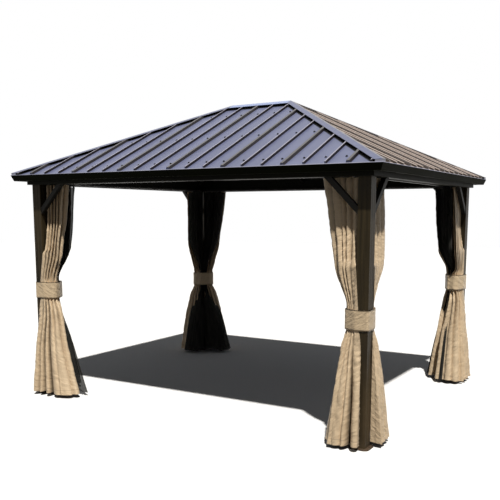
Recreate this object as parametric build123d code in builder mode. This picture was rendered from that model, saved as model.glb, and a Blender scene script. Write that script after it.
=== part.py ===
from build123d import *
import math
import os

os.makedirs("parts", exist_ok=True)

# Metal gazebo with a hip roof, in millimetres.
# X runs along the long front, Y from the front to the back, Z up.
# The origin is on the ground under the middle of the roof.

# driving dimensions
roof_length = 3650
roof_width = 3000
beam_bottom_z = 2000
eave_z = 2080
roof_rise = 691
overhang = 102
beam_width = 80
beam_height = 120
post_size = 100
post_inset = 31
tube_wall = 3
plate_size = 160
plate_thickness = 10
anchor_spacing = 124
anchor_radius = 6
sheet_thickness = 2
rib_height = 19.8
cap_low = 20
long_rib_pitch = roof_length / 21
side_rib_pitch = 150
cap_half_width = 65
hip_cap_half_width = 46
ridge_beam_width = 40
ridge_beam_height = 88
rafter_spacing = 400
brace_leg = 270
brace_depth = 40
brace_width = 40
clear = 0.4

# fits that follow from them
roof_run = roof_width / 2
half_length = roof_length / 2
ridge_half = half_length - roof_run
pitch_tan = roof_rise / roof_run
pitch = math.atan(pitch_tan)
pitch_cos = math.cos(pitch)
pitch_sin = math.sin(pitch)
beam_inner = overhang + beam_width
beam_top_z = beam_bottom_z + beam_height
post_outer = overhang + post_inset
post_inner = post_outer + post_size
post_x = half_length - post_outer - post_size / 2
post_y = roof_run - post_outer - post_size / 2
sheet_edge = 4.5
hip_gap = 4
cap_reach = hip_cap_half_width * math.sqrt(2)
ridge_beam_top = eave_z + roof_rise - 14
purlin_height = 25
purlin_low = -(sheet_thickness + purlin_height)
rafter_drop = 30.2

sides = {
    "front": Plane(origin=(0, -roof_run, 0), x_dir=(1, 0, 0), z_dir=(0, 0, 1)).location,
    "right": Plane(origin=(half_length, 0, 0), x_dir=(0, 1, 0), z_dir=(0, 0, 1)).location,
    "back": Plane(origin=(0, roof_run, 0), x_dir=(-1, 0, 0), z_dir=(0, 0, 1)).location,
    "left": Plane(origin=(-half_length, 0, 0), x_dir=(0, -1, 0), z_dir=(0, 0, 1)).location,
}
side_half = {"front": half_length, "right": roof_run, "back": half_length, "left": roof_run}
side_ridge = {"front": ridge_half, "right": 0, "back": ridge_half, "left": 0}
corners = {
    "front_right": ("front", "right", 1, -1, 967),
    "back_right": ("right", "back", 1, 1, 1036),
    "back_left": ("back", "left", -1, 1, 921),
    "front_left": ("left", "front", -1, -1, 1011),
}

# How far each gathered bunch reaches along its side: at the hem, the band, 1420, 1690 and the rail,
# how far it stands out of the rail's line, and how far its hem laps over the post's outer face.
bunches = {
    ("front_right", "front"): (240, 98, 222, 266, 318, 0, 75),
    ("front_right", "right"): (275, 128, 300, 328, 342, 22, 15),
    ("back_right", "right"): (275, 116, 255, 290, 300, 22, 100),
    ("back_right", "back"): (245, 86, 180, 214, 228, 0, 30),
    ("back_left", "back"): (385, 134, 250, 310, 360, 0, 40),
    ("back_left", "left"): (300, 92, 238, 246, 252, 0, 30),
    ("front_left", "left"): (275, 110, 240, 285, 300, 0, 25),
    ("front_left", "front"): (400, 98, 190, 240, 262, 0, 100),
}


def save(part, name):
    part.label = name
    export_step(part, f"parts/{name}.step")


def roof_z(depth, offset=0):
    return eave_z + depth * pitch_tan + offset / pitch_cos


# A slice of a slope in its side's own frame: plan outline, then two offsets from the sheet's top.
def slope_piece(outline, low, high, half):
    with BuildPart() as piece:
        with BuildSketch(Plane.XY):
            with BuildLine():
                Polyline(*outline, close=True)
            make_face()
        extrude(amount=3200)
        with BuildSketch(Plane.YZ):
            with BuildLine():
                Polyline(
                    (-60, roof_z(-60, low)),
                    (roof_run + 60, roof_z(roof_run + 60, low)),
                    (roof_run + 60, roof_z(roof_run + 60, high)),
                    (-60, roof_z(-60, high)),
                    close=True,
                )
            make_face()
        extrude(amount=half + 100, both=True, mode=Mode.INTERSECT)
    return piece.part


# A bar with a constant section along one side, cut at 45 degrees at both corners.
def mitred_bar(sections, half, depth_low, depth_high):
    with BuildPart() as bar:
        for number, points in enumerate(sections):
            with BuildSketch(Plane.YZ):
                with BuildLine():
                    Polyline(*points, close=True)
                make_face()
            extrude(amount=half, both=True, mode=Mode.ADD if number == 0 else Mode.SUBTRACT)
        with BuildSketch(Plane.XY):
            with BuildLine():
                Polyline(
                    (-half + depth_low + clear, depth_low),
                    (half - depth_low - clear, depth_low),
                    (half - depth_high - clear, depth_high),
                    (-half + depth_high + clear, depth_high),
                    close=True,
                )
            make_face()
        extrude(amount=3200, mode=Mode.INTERSECT)
    return bar.part


def box_part(low, high):
    with BuildPart() as block:
        with Locations(tuple((a + b) / 2 for a, b in zip(low, high))):
            Box(*(b - a for a, b in zip(low, high)))
    return block.part


# Posts: square tubes with two shallow grooves down each face.
with BuildPart() as post:
    with BuildSketch(Plane.XY.offset(plate_thickness)):
        RectangleRounded(post_size, post_size, 4)
        with PolarLocations(post_size / 2, 4):
            with Locations((0, -18), (0, 18)):
                Rectangle(3, 3, mode=Mode.SUBTRACT)
        Rectangle(post_size - 2 * tube_wall, post_size - 2 * tube_wall, mode=Mode.SUBTRACT)
    extrude(amount=beam_bottom_z - plate_thickness)

# Base plates: rounded plates with four anchor holes.
with BuildPart() as plate:
    with BuildSketch(Plane.XY):
        RectangleRounded(plate_size, plate_size, 42)
        with GridLocations(anchor_spacing, 0.001, 2, 1):
            Circle(anchor_radius, mode=Mode.SUBTRACT)
        with GridLocations(0.001, anchor_spacing, 1, 2):
            Circle(anchor_radius, mode=Mode.SUBTRACT)
    extrude(amount=plate_thickness)
    plate_rim = plate.faces().sort_by(Axis.Z)[-1].outer_wire().edges()
    chamfer(plate_rim, 2.5)

for name, (side_a, side_b, sx, sy, tie_z) in corners.items():
    spot = Location((sx * post_x, sy * post_y, 0))
    with BuildPart() as placed_post:
        add(post.part.moved(spot))
    save(placed_post.part, f"post_{name}")
    with BuildPart() as placed_plate:
        add(plate.part.moved(spot))
    save(placed_plate.part, f"base_plate_{name}")

# Beams: rectangular tubes mitred over the posts, with a joint groove half way.
for name, place in sides.items():
    half = side_half[name]
    outer = [
        (overhang, beam_bottom_z),
        (beam_inner, beam_bottom_z),
        (beam_inner, beam_top_z),
        (overhang, beam_top_z),
    ]
    inner = [
        (overhang + tube_wall, beam_bottom_z + tube_wall),
        (beam_inner - tube_wall, beam_bottom_z + tube_wall),
        (beam_inner - tube_wall, beam_top_z - tube_wall),
        (overhang + tube_wall, beam_top_z - tube_wall),
    ]
    tube = mitred_bar([outer, inner], half, overhang, beam_inner)
    with BuildPart() as beam:
        add(tube.moved(place))
        groove = box_part((-1.5, overhang - 1, beam_bottom_z - 1), (1.5, overhang + 1.5, beam_top_z + 1))
        add(groove.moved(place), mode=Mode.SUBTRACT)
        under = box_part((-1.5, overhang - 1, beam_bottom_z - 1), (1.5, beam_inner + 1, beam_bottom_z + 1.5))
        add(under.moved(place), mode=Mode.SUBTRACT)
    save(beam.part, f"beam_{name}")

# Eave trims: folded channels that lean in towards the bottom, with a joint groove half way.
flange_drop = sheet_thickness / pitch_cos + 0.5
for name, place in sides.items():
    half = side_half[name]
    channel = [
        (0, eave_z + 2),
        (20, eave_z - 48),
        (50, eave_z - 48),
        (50, eave_z - 45),
        (23.3, eave_z - 45),
        (6.4, roof_z(6.4) - flange_drop - 3.3),
        (50, roof_z(50) - flange_drop - 3.3),
        (50, roof_z(50) - flange_drop),
        (4, roof_z(4) - flange_drop),
        (4, eave_z + 2),
    ]
    folded = mitred_bar([channel], half, 0, 50)
    with BuildPart() as trim:
        add(folded.moved(place))
        groove_profile = [
            (-3, eave_z + 9),
            (1.2, eave_z + 2),
            (21.2, eave_z - 48),
            (10, eave_z - 60),
        ]
        with BuildPart(mode=Mode.PRIVATE) as groove:
            with BuildSketch(Plane.YZ):
                with BuildLine():
                    Polyline(*groove_profile, close=True)
                make_face()
            extrude(amount=1, both=True)
        add(groove.part.moved(place), mode=Mode.SUBTRACT)
    save(trim.part, f"eave_trim_{name}")

# Roof slopes: ribbed sheets. Every third rib is a wide lap rib.
for name, place in sides.items():
    half = side_half[name]
    ridge = side_ridge[name]
    step = long_rib_pitch if ridge else side_rib_pitch
    if ridge:
        top = roof_run - 3
        outline = [
            (-(half - sheet_edge - hip_gap), sheet_edge),
            (half - sheet_edge - hip_gap, sheet_edge),
            (half - top - hip_gap, top),
            (-(half - top - hip_gap), top),
        ]
    else:
        outline = [
            (-(half - sheet_edge - hip_gap), sheet_edge),
            (half - sheet_edge - hip_gap, sheet_edge),
            (0, half - hip_gap),
        ]
    sheet = slope_piece(outline, -sheet_thickness, 0, half)
    with BuildPart() as ribs:
        count = int((half - 60) / step)
        for number in range(-count, count + 1):
            wide = number % 3 == 0
            foot = 20 if wide else 8
            crest = 11 if wide else 5
            middle = number * step
            start = 14
            end = min(half - abs(middle) - foot - hip_gap, roof_run - 12)
            if end - start < 30:
                continue
            rib_plane = Plane(
                origin=(middle, start, roof_z(start)), x_dir=(1, 0, 0), z_dir=(0, pitch_cos, pitch_sin)
            )
            with BuildSketch(rib_plane):
                with BuildLine():
                    Polyline(
                        (-foot, 1),
                        (foot, 1),
                        (crest, -rib_height),
                        (-crest, -rib_height),
                        close=True,
                    )
                make_face()
            extrude(amount=(end - start) / pitch_cos)
    with BuildPart() as slope:
        add(sheet.moved(place))
        add(ribs.part.moved(place))
    save(slope.part, f"roof_slope_{name}")


# One wing of a hip cap. The hand is 1 at the end the side's own axis points to.
def cap_wing(name, hand):
    half = side_half[name]
    ridge = side_ridge[name]
    lower = [(half - sheet_edge, sheet_edge), (half - sheet_edge - cap_reach, sheet_edge)]
    if ridge:
        meet = roof_run - cap_half_width
        upper = [(half - meet - cap_reach, meet), (ridge, roof_run)]
    else:
        upper = [(clear, half - cap_reach), (clear, half - clear)]
    outline = [(hand * s, d) for s, d in lower + upper]
    wing = slope_piece(outline, cap_low, cap_low + sheet_thickness, half)
    return wing.moved(sides[name])


for name, (side_a, side_b, sx, sy, tie_z) in corners.items():
    wing_a = cap_wing(side_a, 1)
    wing_b = cap_wing(side_b, -1)
    with BuildPart() as hip_cap:
        add(wing_a)
        add(wing_b)
    save(hip_cap.part, f"hip_cap_{name}")

ridge_meet = roof_run - cap_half_width
ridge_low = half_length - ridge_meet - cap_reach - 0.6
ridge_outline = [
    (-ridge_low, ridge_meet),
    (ridge_low, ridge_meet),
    (ridge_half - 0.6, roof_run),
    (-ridge_half + 0.6, roof_run),
]
ridge_wing = slope_piece(ridge_outline, cap_low, cap_low + sheet_thickness, half_length)
with BuildPart() as ridge_cap:
    add(ridge_wing.moved(sides["front"]))
    add(ridge_wing.moved(sides["back"]))
save(ridge_cap.part, "ridge_cap")

# Braces: two slanted struts at each corner, in the plane of the beam and the post.
slant = brace_depth * math.sqrt(2)
brace_outer = overhang + post_inset + 5
brace_points = [(brace_leg, 0), (brace_leg - slant, 0), (0, slant - brace_leg), (0, -brace_leg)]


def brace_part(name, hand):
    foot = side_half[name] - post_inner
    with BuildPart() as strut:
        with BuildSketch(Plane.XZ.offset(-brace_outer)):
            with BuildLine():
                Polyline(*[(hand * (foot - a), beam_bottom_z + z) for a, z in brace_points], close=True)
            make_face()
        extrude(amount=-brace_width)
    return strut.part.moved(sides[name])


for name, (side_a, side_b, sx, sy, tie_z) in corners.items():
    brace_a = brace_part(side_a, 1)
    brace_b = brace_part(side_b, -1)
    with BuildPart() as braces:
        add(brace_a)
        add(brace_b)
    save(braces.part, f"braces_{name}")

# Ridge beam under the ridge cap.
with BuildPart() as ridge_beam:
    with Locations((0, 0, ridge_beam_top - ridge_beam_height / 2)):
        Box(2 * ridge_half + 2, ridge_beam_width, ridge_beam_height)
save(ridge_beam.part, "ridge_beam")

# Hip rafters: from the corner of the beams up to the ends of the ridge beam.
hip_run = roof_run * math.sqrt(2)
hip_start = beam_inner * math.sqrt(2) + 20.5
hip_end = hip_run - 22
hip_drop = rafter_drop + 7


def hip_z(run):
    return eave_z + run / math.sqrt(2) * pitch_tan - hip_drop


with BuildPart() as hip_rafter:
    with BuildSketch(Plane.XZ):
        with BuildLine():
            Polyline(
                (hip_start, hip_z(hip_start)),
                (hip_end, hip_z(hip_end)),
                (hip_end, hip_z(hip_end) - 52),
                (hip_start, hip_z(hip_start) - 52),
                close=True,
            )
        make_face()
    extrude(amount=20, both=True)

hip_list = []
for sx, sy in ((1, -1), (1, 1), (-1, 1), (-1, -1)):
    turn = math.degrees(math.atan2(-sy, -sx))
    hip_list.append(hip_rafter.part.moved(Location((sx * half_length, sy * roof_run, 0), (0, 0, turn))))


# Common rafters: four to the ridge beam's sides and one to each of its ends.
def rafter_part(name, middle, end):
    start = beam_inner + 0.4
    with BuildPart() as bar:
        with BuildSketch(Plane.YZ.offset(middle)):
            with BuildLine():
                Polyline(
                    (start, roof_z(start) - rafter_drop),
                    (end, roof_z(end) - rafter_drop),
                    (end, roof_z(end) - rafter_drop - 48),
                    (start, roof_z(start) - rafter_drop - 48),
                    close=True,
                )
            make_face()
        extrude(amount=15, both=True)
    return bar.part.moved(sides[name])


rafter_list = list(hip_list)
for name in ("front", "back"):
    for middle in (-rafter_spacing / 2, rafter_spacing / 2):
        rafter_list.append(rafter_part(name, middle, roof_run - ridge_beam_width / 2 - 0.5))
for name in ("left", "right"):
    rafter_list.append(rafter_part(name, 0, roof_run - 48))
with BuildPart() as rafters:
    for bar in rafter_list:
        add(bar)
save(rafters.part, "rafters")

# Purlins: one on top of each beam and one half way up each slope.
purlin_list = []
for name in sides:
    half = side_half[name]
    low = 655
    high = 695
    outline = [
        (-(half - low - 3), low),
        (half - low - 3, low),
        (half - high - 3, high),
        (-(half - high - 3), high),
    ]
    upper = slope_piece(outline, purlin_low, -sheet_thickness - clear, half)
    purlin_list.append(upper.moved(sides[name]))
    wedge = [
        (112, beam_top_z + 0.2),
        (172, beam_top_z + 0.2),
        (172, roof_z(172) - flange_drop),
        (112, roof_z(112) - flange_drop),
    ]
    lower = mitred_bar([wedge], half, 112, 172)
    purlin_list.append(lower.moved(sides[name]))
with BuildPart() as purlins:
    for bar in purlin_list:
        add(bar)
save(purlins.part, "purlins")

# Curtain rails: an outer track on the beam and an inner track on brackets, along each side.
rail_list = []
for name in sides:
    reach = side_half[name] - post_inner - 8
    if not side_ridge[name]:
        reach = reach - 30
    short = side_half[name] - beam_inner - 128
    low_z = beam_bottom_z + 4
    high_z = beam_bottom_z + 20
    with BuildPart() as rail:
        add(box_part((-reach, beam_inner, low_z), (reach, beam_inner + 22, high_z)))
        add(box_part((-short, beam_inner + 100, low_z), (short, beam_inner + 122, high_z)))
        for spot in range(-2, 3):
            middle = spot * (short - 30) / 2
            add(box_part((middle - 12, beam_inner, high_z), (middle + 12, beam_inner + 122, high_z + 6)))
    rail_list.append(rail.part.moved(sides[name]))
with BuildPart() as rails:
    for bar in rail_list:
        add(bar)
save(rails.part, "curtain_rails")


hang_z = beam_bottom_z + 3.7


# A gathered bunch: a ruled loft through level outlines. Each outline is measured from the post:
# first along the side from the post's inner face, then inwards from the post's middle line.
def bunch_part(name, hand, levels):
    half = side_half[name]
    middle = post_outer + post_size / 2
    with BuildPart() as bunch:
        for height, points in levels:
            with BuildSketch(Plane.XY.offset(height)):
                with BuildLine():
                    Polyline(
                        *[(hand * (half - post_inner - a), middle + b) for a, b in points],
                        close=True,
                    )
                make_face()
        loft(ruled=True)
    return bunch.part.moved(sides[name])


def curtain_levels(tie_z, reach):
    hem, tie, middle, upper, top, out, lap = reach
    fall = hem - tie
    low = tie + 0.5 * fall
    below = tie + 0.22 * fall
    under = tie + 0.05 * fall
    face = -post_size / 2 - 4

    def over(share, depth):
        return (5 - share * lap, depth)

    def beside(depth):
        return [(5, 44), (6.5, depth + 10), (4, depth + 5)]

    neck = [(5, -18), (0.875 * tie, -18), (tie, 12), (0.893 * tie, 58), (20, 58)] + beside(-18)
    return [
        (30, [over(1, -158), (0.7 * hem, -150), (hem, -40), (0.86 * hem, 95), (58, 95), (5, 44),
              (5, face), over(1, face)]),
        (500, [over(0.85, -106), (0.78 * low, -100), (low, -15), (0.86 * low, 82), (44, 82), (5, 44),
               (5, face), over(0.85, face)]),
        (tie_z - 200, [over(0.5, -66), (0.82 * below, -64), (below, 0), (0.88 * below, 62), (34, 62), (5, 44),
                       (5, face), over(0.5, face)]),
        (tie_z - 110, [(0, -56), (0.87 * under, -34), (under, 9), (0.89 * under, 59), (24, 59), (5, 44),
                       (5, face), (0, face)]),
        (tie_z - 80, neck),
        (tie_z + 80, neck),
        (1420, [(5, -14), (0.95 * middle, -10 - out), (middle, 44), (0.95 * middle, 90), (52, 90)]
         + beside(-14)),
        (1690, [(5, 0), (0.97 * upper, -out), (upper, 48), (0.97 * upper, 94), (56, 94)] + beside(0)),
        (hang_z, [(5, 0), (0.974 * top, 0), (top, 48), (0.974 * top, 96), (58, 96)] + beside(0)),
    ]


def net_levels(tie_z, reach):
    hem, tie, middle, upper, top, out, lap = reach
    low = 0.95 * (tie + 0.5 * (hem - tie))
    neck = [(26, 58.3), (0.68 * tie, 58.3), (0.68 * tie, 79), (46, 79)]
    return [
        (30, [(64, 101), (hem, 101), (hem, 140), (103, 140)]),
        (500, [(50, 87), (low, 87), (low, 122), (85, 122)]),
        (tie_z - 80, neck),
        (tie_z + 80, neck),
        (1420, [(58, 96), (0.9 * middle, 96), (0.9 * middle, 126), (88, 126)]),
        (hang_z, [(64, 102), (0.92 * top, 102), (0.92 * top, 140), (102, 140)]),
    ]


for name, (side_a, side_b, sx, sy, tie_z) in corners.items():
    curtain_a = bunch_part(side_a, 1, curtain_levels(tie_z, bunches[name, side_a]))
    curtain_b = bunch_part(side_b, -1, curtain_levels(tie_z, bunches[name, side_b]))
    with BuildPart() as curtains:
        add(curtain_a)
        add(curtain_b)
    save(curtains.part, f"curtains_{name}")
    net_a = bunch_part(side_a, 1, net_levels(tie_z, bunches[name, side_a]))
    net_b = bunch_part(side_b, -1, net_levels(tie_z, bunches[name, side_b]))
    with BuildPart() as nets:
        add(net_a)
        add(net_b)
    save(nets.part, f"nets_{name}")

# Tie bands: a flat strap round each post and its bunches.
for name, (side_a, side_b, sx, sy, tie_z) in corners.items():
    along = {side: bunches[name, side][1] for side in (side_a, side_b)}
    tie_x = along["front" if sy < 0 else "back"]
    tie_y = along["right" if sx > 0 else "left"]
    ring = [
        (-50, -50),
        (50, -50),
        (50 + 0.875 * tie_x, -18),
        (50 + tie_x, 12),
        (50 + 0.893 * tie_x, 58),
        (80, 50 + 0.893 * tie_y),
        (58, 50 + 0.893 * tie_y),
        (12, 50 + tie_y),
        (-18, 50 + 0.875 * tie_y),
        (-50, 50),
    ]
    outline = [(sx * (post_x - p), sy * (post_y - q)) for p, q in ring]
    with BuildPart() as band:
        with BuildSketch(Plane.XY.offset(tie_z - 78)) as loop:
            with BuildLine():
                Polyline(*outline, close=True)
            make_face()
            offset(amount=3.3, kind=Kind.ARC)
            with BuildSketch(mode=Mode.PRIVATE) as hole:
                with BuildLine():
                    Polyline(*outline, close=True)
                make_face()
                offset(amount=0.3, kind=Kind.ARC)
            add(hole.sketch, mode=Mode.SUBTRACT)
        extrude(amount=156)
    save(band.part, f"tie_band_{name}")
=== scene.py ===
import bpy
import math
import numpy as np
from mathutils import Matrix, Vector


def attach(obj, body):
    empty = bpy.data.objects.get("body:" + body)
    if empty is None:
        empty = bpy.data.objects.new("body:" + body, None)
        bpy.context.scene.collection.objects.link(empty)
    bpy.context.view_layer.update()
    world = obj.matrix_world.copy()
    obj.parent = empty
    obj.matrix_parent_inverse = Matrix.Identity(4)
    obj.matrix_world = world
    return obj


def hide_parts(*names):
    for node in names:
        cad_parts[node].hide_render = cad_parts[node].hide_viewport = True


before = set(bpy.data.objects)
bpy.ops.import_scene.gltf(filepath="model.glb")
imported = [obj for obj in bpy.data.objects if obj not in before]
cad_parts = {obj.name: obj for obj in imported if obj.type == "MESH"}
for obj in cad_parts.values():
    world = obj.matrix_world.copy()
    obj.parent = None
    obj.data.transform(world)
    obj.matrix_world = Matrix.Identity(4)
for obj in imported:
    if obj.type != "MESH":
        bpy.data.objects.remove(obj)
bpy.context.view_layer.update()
print("frame loaded")


# camera, floor and light

cameraView = {
    "place": (3.572, -6.155, 1.740),
    "turn": 30.606,
    "tiltDown": 8.227,
    "roll": 0.070,
    "focus": 711.5,
    "middle": (254.4, 316.0),
    "frame": 500,
}


# The camera looks along (-sin turn, cos turn, -tan tilt); its lens is focus over frame of the 36 mm sensor.
def makeCamera(view):
    turn, tilt, roll = (math.radians(view[k]) for k in ("turn", "tiltDown", "roll"))
    ahead = Vector((-math.sin(turn) * math.cos(tilt), math.cos(turn) * math.cos(tilt), -math.sin(tilt)))
    across = Vector((math.cos(turn), math.sin(turn), 0))
    above = across.cross(ahead)
    rightWay = across * math.cos(roll) + above * math.sin(roll)
    upWay = above * math.cos(roll) - across * math.sin(roll)
    data = bpy.data.cameras.new("photoCamera")
    data.lens = view["focus"] * 36 / view["frame"]
    data.sensor_width = 36
    data.shift_x = (view["frame"] / 2 - view["middle"][0]) / view["frame"]
    data.shift_y = (view["middle"][1] - view["frame"] / 2) / view["frame"]
    data.clip_end = 200
    camera = bpy.data.objects.new("photoCamera", data)
    turned = Matrix((rightWay, upWay, -ahead)).transposed().to_4x4()
    camera.matrix_world = Matrix.Translation(view["place"]) @ turned
    bpy.context.collection.objects.link(camera)
    bpy.context.scene.camera = camera


makeCamera(cameraView)

studio = {
    "sunFrom": (0.30, -0.36, 0.86),
    "sunStrength": 4.3,
    "sunSoftness": 1.5,
    "sunColour": (1.0, 0.97, 0.92),
    "skyColour": (0.93, 0.96, 1.0),
    "skyStrength": 0.09,
    "floorSeen": (0.93, 0.93, 0.93),
    "floorBounce": (0.050, 0.048, 0.045),
    "floorSize": 60,
}


def shaderTree(owner):
    owner.use_nodes = True
    owner.node_tree.nodes.clear()
    return owner.node_tree


# A maths node; each value is a number or another node's output.
def mathNode(tree, kind, *values):
    node = tree.nodes.new("ShaderNodeMath")
    node.operation = kind
    for socket, value in zip(node.inputs, values):
        if hasattr(value, "links"):
            tree.links.new(value, socket)
        else:
            socket.default_value = value
    return node.outputs[0]


# Shows the second shader to rays from the camera, and to those mirrored or sent through. The others, which
# only carry light, meet the first.
def mixBySeen(tree, lighting, seen, out):
    path = tree.nodes.new("ShaderNodeLightPath").outputs
    direct = mathNode(tree, "MAXIMUM", path["Is Camera Ray"], path["Is Glossy Ray"])
    mix = tree.nodes.new("ShaderNodeMixShader")
    tree.links.new(mathNode(tree, "MAXIMUM", direct, path["Is Transmission Ray"]), mix.inputs[0])
    tree.links.new(lighting.outputs[0], mix.inputs[1])
    tree.links.new(seen.outputs[0], mix.inputs[2])
    tree.links.new(mix.outputs[0], out.inputs[0])


def makeWorld(look):
    world = bpy.data.worlds.new("studioWorld")
    bpy.context.scene.world = world
    tree = shaderTree(world)
    sky, seen = (tree.nodes.new("ShaderNodeBackground") for _ in range(2))
    sky.inputs["Color"].default_value = (*look["skyColour"], 1)
    sky.inputs["Strength"].default_value = look["skyStrength"]
    seen.inputs["Color"].default_value = (1, 1, 1, 1)
    seen.inputs["Strength"].default_value = 1
    mixBySeen(tree, sky, seen, tree.nodes.new("ShaderNodeOutputWorld"))


def makeFloor(look):
    paint = bpy.data.materials.new("paleFloor")
    tree = shaderTree(paint)
    dim, pale = (tree.nodes.new("ShaderNodeBsdfDiffuse") for _ in range(2))
    dim.inputs["Color"].default_value = (*look["floorBounce"], 1)
    pale.inputs["Color"].default_value = (*look["floorSeen"], 1)
    mixBySeen(tree, dim, pale, tree.nodes.new("ShaderNodeOutputMaterial"))
    half = look["floorSize"] / 2
    mesh = bpy.data.meshes.new("studioFloor")
    mesh.from_pydata([(-half, -half, 0), (half, -half, 0), (half, half, 0), (-half, half, 0)],
                     [], [(0, 1, 2, 3)])
    mesh.materials.append(paint)
    floor = bpy.data.objects.new("studioFloor", mesh)
    bpy.context.collection.objects.link(floor)


def makeSun(look):
    sun = bpy.data.lights.new("studioSun", "SUN")
    sun.energy = look["sunStrength"]
    sun.angle = math.radians(look["sunSoftness"])
    sun.color = look["sunColour"]
    lamp = bpy.data.objects.new("studioSun", sun)
    lamp.rotation_mode = "QUATERNION"
    lamp.rotation_quaternion = Vector(look["sunFrom"]).to_track_quat("Z", "Y")
    bpy.context.collection.objects.link(lamp)


makeWorld(studio)
makeFloor(studio)
makeSun(studio)
bpy.context.scene.view_settings.view_transform = "Standard"
print("camera and studio made")


# finishes

# A material with one principled shader; each part of it that varies is linked by the maker that calls this.
def newFinish(name, roughness, specular, sheen=0.0, alpha=1.0):
    finish = bpy.data.materials.new(name)
    tree = shaderTree(finish)
    out = tree.nodes.new("ShaderNodeOutputMaterial")
    shader = tree.nodes.new("ShaderNodeBsdfPrincipled")
    shader.inputs["Roughness"].default_value = roughness
    shader.inputs["Specular IOR Level"].default_value = specular
    shader.inputs["Sheen Weight"].default_value = sheen
    shader.inputs["Sheen Roughness"].default_value = 0.45
    shader.inputs["Alpha"].default_value = alpha
    tree.links.new(shader.outputs[0], out.inputs[0])
    return finish, tree, shader


# Noise on coordinates that are stretched by scale along each axis.
def stretchedNoise(tree, coordinates, scale, detail=3.0, roughness=0.55):
    mapping = tree.nodes.new("ShaderNodeMapping")
    mapping.inputs["Scale"].default_value = scale
    noise = tree.nodes.new("ShaderNodeTexNoise")
    noise.inputs["Scale"].default_value = 1
    noise.inputs["Detail"].default_value = detail
    noise.inputs["Roughness"].default_value = roughness
    tree.links.new(coordinates, mapping.inputs["Vector"])
    tree.links.new(mapping.outputs[0], noise.inputs["Vector"])
    return noise.outputs["Fac"]


# A ramp from one colour to the other between two values.
def colourRamp(tree, value, first, second):
    ramp = tree.nodes.new("ShaderNodeValToRGB")
    for element, (place, colour) in zip(ramp.color_ramp.elements, (first, second)):
        element.position = place
        element.color = (*colour, 1)
    tree.links.new(value, ramp.inputs[0])
    return ramp.outputs[0]


# The value carried from one range to another, and held at its ends.
def scaledRange(tree, value, low, high, fromLow=0.0, fromHigh=1.0):
    spread = tree.nodes.new("ShaderNodeMapRange")
    spread.inputs["From Min"].default_value = fromLow
    spread.inputs["From Max"].default_value = fromHigh
    spread.inputs["To Min"].default_value = low
    spread.inputs["To Max"].default_value = high
    tree.links.new(value, spread.inputs["Value"])
    return spread.outputs[0]


def mixColours(tree, amount, first, second):
    mix = tree.nodes.new("ShaderNodeMix")
    mix.data_type = "RGBA"
    tree.links.new(amount, mix.inputs[0])
    for socket, colour in ((mix.inputs[6], first), (mix.inputs[7], second)):
        if hasattr(colour, "links"):
            tree.links.new(colour, socket)
        else:
            socket.default_value = (*colour, 1)
    return mix.outputs[2]


def splitAxes(tree, vector):
    split = tree.nodes.new("ShaderNodeSeparateXYZ")
    tree.links.new(vector, split.inputs[0])
    return split.outputs


def addBump(tree, shader, height, strength, distance, before=None):
    bump = tree.nodes.new("ShaderNodeBump")
    bump.inputs["Strength"].default_value = strength
    bump.inputs["Distance"].default_value = distance
    tree.links.new(height, bump.inputs["Height"])
    if before is not None:
        tree.links.new(before, bump.inputs["Normal"])
    tree.links.new(bump.outputs[0], shader.inputs["Normal"])
    return bump.outputs[0]


# Powder coat: a dark base, long faint streaks along the part, a fine orange-peel grain, and dust low down.
def powderCoat(name, dark, light, roughness, streaks, dust=None, specular=0.09):
    finish, tree, shader = newFinish(name, roughness, specular)
    place = tree.nodes.new("ShaderNodeTexCoord").outputs["Object"]
    streak = stretchedNoise(tree, place, streaks, 4)
    cloud = stretchedNoise(tree, place, (2.3, 2.3, 2.3))
    colour = colourRamp(tree, mathNode(tree, "MULTIPLY", streak, cloud), (0.12, dark), (0.42, light))
    if dust:
        low = scaledRange(tree, splitAxes(tree, place)[2], 0.55, 0.0, 0.0, dust["upTo"])
        worn = mathNode(tree, "MULTIPLY", low, stretchedNoise(tree, place, (30, 30, 9), 5))
        colour = mixColours(tree, worn, colour, dust["colour"])
    tree.links.new(colour, shader.inputs["Base Color"])
    tree.links.new(scaledRange(tree, cloud, roughness - 0.08, roughness + 0.1), shader.inputs["Roughness"])
    addBump(tree, shader, stretchedNoise(tree, place, (900, 900, 900), 1), 0.12, 0.0006)
    return finish


# The roof in metres. Ribs stand a pitch apart from the middle of each slope, and every third one is wide.
# Painted shade darkens the sheet under the caps, up to the cap's reach from a hip or the ridge.
roof = {
    "eaveHeight": 2.08,
    "rise": 0.691 / 1.5,
    "frontRun": 1.5,
    "endRun": 1.825,
    "frontPitch": 3.65 / 21,
    "endPitch": 0.15,
    "ribTop": 0.0185,
    "flankSplit": (0.0150, 0.0165),
    "wideHalf": 0.026,
    "capShadeReach": 0.080,
    "sheetSpecular": 0.22,
}
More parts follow.
